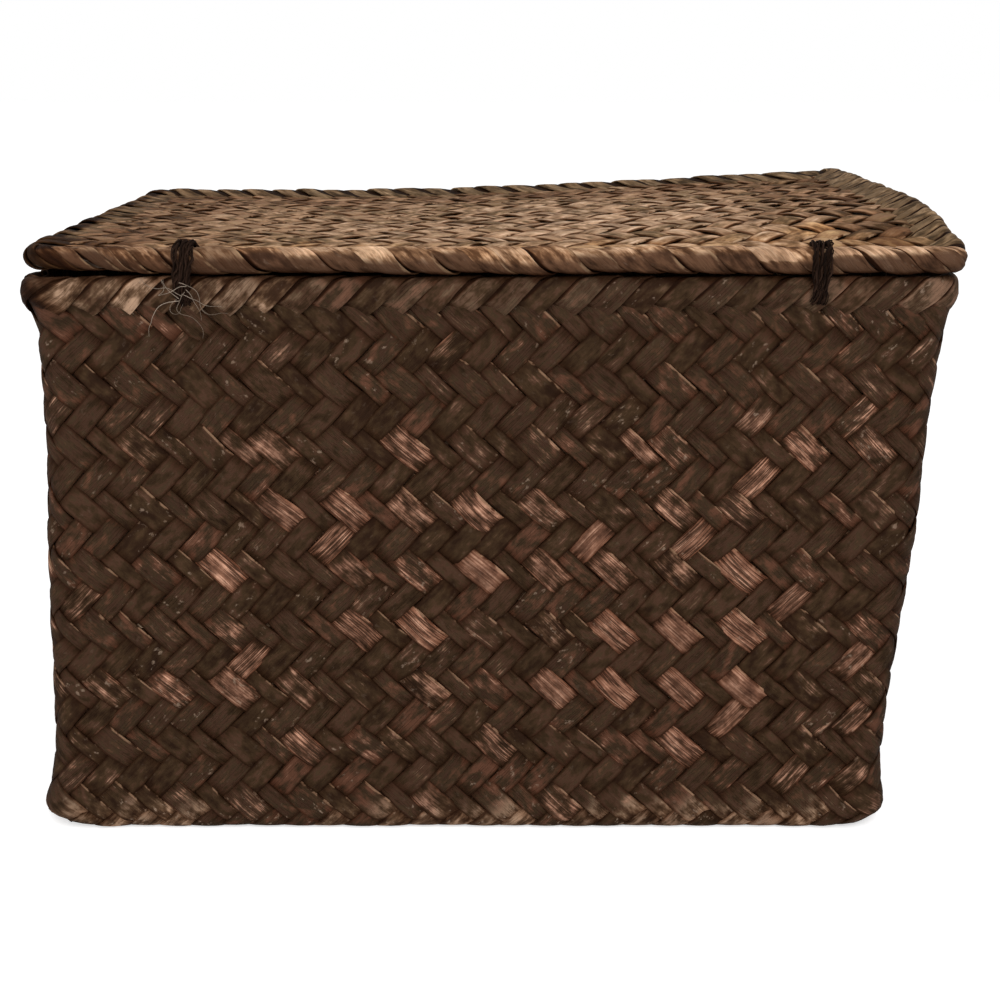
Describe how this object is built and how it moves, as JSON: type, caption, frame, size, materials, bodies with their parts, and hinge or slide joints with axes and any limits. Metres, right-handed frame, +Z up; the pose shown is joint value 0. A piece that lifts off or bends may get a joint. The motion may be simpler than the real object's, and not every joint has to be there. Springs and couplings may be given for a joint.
{
  "type": "plaited strip box with hinged lid",
  "caption": "Oblong storage box plaited from flat dark strips, with a folded rim and a flat lid that has a wrapped edge and turns on two cord ties.",
  "frame": {"origin": "on the surface that the box stands on, under the middle of its bounding box", "axes": "+X along the tied side, +Y from the tied side to the side that opens, +Z up"},
  "size_m": [0.3694, 0.2458, 0.253],
  "materials": {
    "dark_plait": "stained strip, satin, worn on the crowns",
    "worn_plait": "stained strip, satin, faded",
    "lining_plait": "stained strip, matte",
    "rim_strip": "stained strip, satin, worn to tan",
    "rod": "plain rod, matte",
    "tie_cord": "twisted plant fibre, dry"
  },
  "bodies": {
    "box_body": {"body_outer_plait": "dark_plait", "body_inner_lining": "lining_plait", "body_rim_hoop": "rod", "body_rim_fold": "rim_strip", "hinge_tie_left": "tie_cord", "hinge_tie_right": "tie_cord"},
    "lid": {"lid_top_plait": "worn_plait", "lid_inner_lining": "lining_plait", "lid_rim_hoop": "rod", "lid_rim_roll": "rim_strip"}
  },
  "joints": [
    {"name": "lid_hinge", "type": "hinge", "parent": "box_body", "child": "lid", "pos_m": [0, -0.11495, 0.2369], "axis": [1, 0, 0], "range_deg": [0, 180]}
  ]
}
